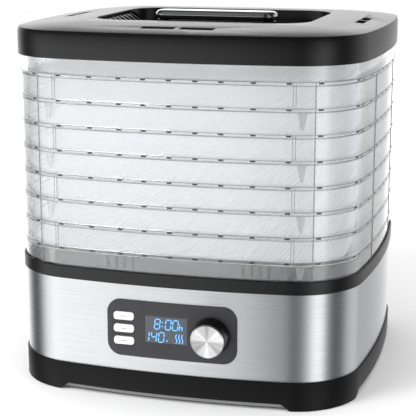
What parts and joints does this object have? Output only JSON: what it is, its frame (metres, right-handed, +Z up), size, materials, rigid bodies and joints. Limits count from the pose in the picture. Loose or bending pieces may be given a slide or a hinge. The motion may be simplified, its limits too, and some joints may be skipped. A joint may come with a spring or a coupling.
{
  "type": "food dehydrator",
  "caption": "Countertop food dehydrator: brushed steel base with display, keys and knob, stack of clear mesh trays, and a black lid with a chrome handle.",
  "frame": {"origin": "centre of the base on the surface it stands on", "axes": "+Z up, -Y is the front with the control panel, +X is the right side seen from the front"},
  "size_m": [0.33, 0.3403, 0.335],
  "materials": {
    "black_plastic": "satin",
    "gloss_black": "gloss",
    "clear_plastic": "gloss",
    "brushed_steel": "brushed",
    "panel_grey": "matte",
    "duct_grey": "satin",
    "deck_grey": "satin",
    "white_plastic": "satin",
    "spun_aluminium": "brushed",
    "chrome": "polished",
    "steel": "satin",
    "rubber": "matte",
    "display_glass": "gloss",
    "circuit_board": "satin",
    "component_black": "matte",
    "component_blue": "satin",
    "mica": "matte",
    "copper_coil": "satin"
  },
  "bodies": {
    "base": {"base_screws": "steel", "rubber_feet": "rubber", "board_screws": "steel", "base_pan": "black_plastic", "cord_gland": "black_plastic", "steel_wrap": "brushed_steel", "top_ring": "black_plastic", "inner_deck": "deck_grey", "air_housing": "duct_grey", "fan_shroud": "black_plastic", "fan_guard": "steel", "heater_coil": "copper_coil", "heater_frame": "mica", "thermal_cutout": "component_black", "temperature_probe": "steel", "motor_screws": "steel", "motor_bracket": "steel", "fan_motor": "steel", "control_panel": "panel_grey", "display_window": "display_glass", "display_module": "component_black", "control_board": "circuit_board", "tact_switches": "component_black", "encoder_body": "steel", "power_board": "circuit_board", "transformer": "copper_coil", "relay": "component_black", "filter_capacitor": "component_blue", "terminal_block": "white_plastic"},
    "fan": {"fan_shaft": "steel", "fan_blade": "black_plastic"},
    "knob": {"encoder_shaft": "steel", "knob_skirt": "gloss_black", "knob_cap": "spun_aluminium"},
    "button_top_key": {"button_top": "white_plastic"},
    "button_middle_key": {"button_middle": "white_plastic"},
    "button_bottom_key": {"button_bottom": "white_plastic"},
    "lid": {"lid_shell": "black_plastic", "lid_liner": "black_plastic", "lid_handle": "chrome", "handle_posts": "chrome", "handle_screws": "steel"},
    "tray_1_stack": {"tray_1": "clear_plastic"},
    "tray_2_stack": {"tray_2": "clear_plastic"},
    "tray_3_stack": {"tray_3": "clear_plastic"},
    "tray_4_stack": {"tray_4": "clear_plastic"},
    "tray_5_stack": {"tray_5": "clear_plastic"},
    "tray_6_stack": {"tray_6": "clear_plastic"},
    "tray_7_stack": {"tray_7": "clear_plastic"},
    "tray_8_stack": {"tray_8": "clear_plastic"}
  },
  "joints": [
    {"name": "fan_spin", "type": "hinge", "parent": "base", "child": "fan", "pos_m": [0, 0, 0.06], "axis": [0, 0, 1], "continuous": true},
    {"name": "knob_turn", "type": "hinge", "parent": "base", "child": "knob", "pos_m": [0.0382, -0.16, 0.0657], "axis": [0, -1, 0], "continuous": true},
    {"name": "button_top_press", "type": "slide", "parent": "base", "child": "button_top_key", "axis": [0, 1, 0], "range_m": [0, 0.0006], "stiffness_N_per_m": 300},
    {"name": "button_middle_press", "type": "slide", "parent": "base", "child": "button_middle_key", "axis": [0, 1, 0], "range_m": [0, 0.0006], "stiffness_N_per_m": 300},
    {"name": "button_bottom_press", "type": "slide", "parent": "base", "child": "button_bottom_key", "axis": [0, 1, 0], "range_m": [0, 0.0006], "stiffness_N_per_m": 300},
    {"name": "tray_1_lift", "type": "slide", "parent": "base", "child": "tray_1_stack", "axis": [0, 0, 1], "range_m": [0, 0.045]},
    {"name": "tray_2_lift", "type": "slide", "parent": "tray_1_stack", "child": "tray_2_stack", "axis": [0, 0, 1], "range_m": [0, 0.045]},
    {"name": "tray_3_lift", "type": "slide", "parent": "tray_2_stack", "child": "tray_3_stack", "axis": [0, 0, 1], "range_m": [0, 0.045]},
    {"name": "tray_4_lift", "type": "slide", "parent": "tray_3_stack", "child": "tray_4_stack", "axis": [0, 0, 1], "range_m": [0, 0.045]},
    {"name": "tray_5_lift", "type": "slide", "parent": "tray_4_stack", "child": "tray_5_stack", "axis": [0, 0, 1], "range_m": [0, 0.045]},
    {"name": "tray_6_lift", "type": "slide", "parent": "tray_5_stack", "child": "tray_6_stack", "axis": [0, 0, 1], "range_m": [0, 0.045]},
    {"name": "tray_7_lift", "type": "slide", "parent": "tray_6_stack", "child": "tray_7_stack", "axis": [0, 0, 1], "range_m": [0, 0.045]},
    {"name": "tray_8_lift", "type": "slide", "parent": "tray_7_stack", "child": "tray_8_stack", "axis": [0, 0, 1], "range_m": [0, 0.045]},
    {"name": "lid_lift", "type": "slide", "parent": "tray_8_stack", "child": "lid", "axis": [0, 0, 1], "range_m": [0, 0.06]}
  ]
}
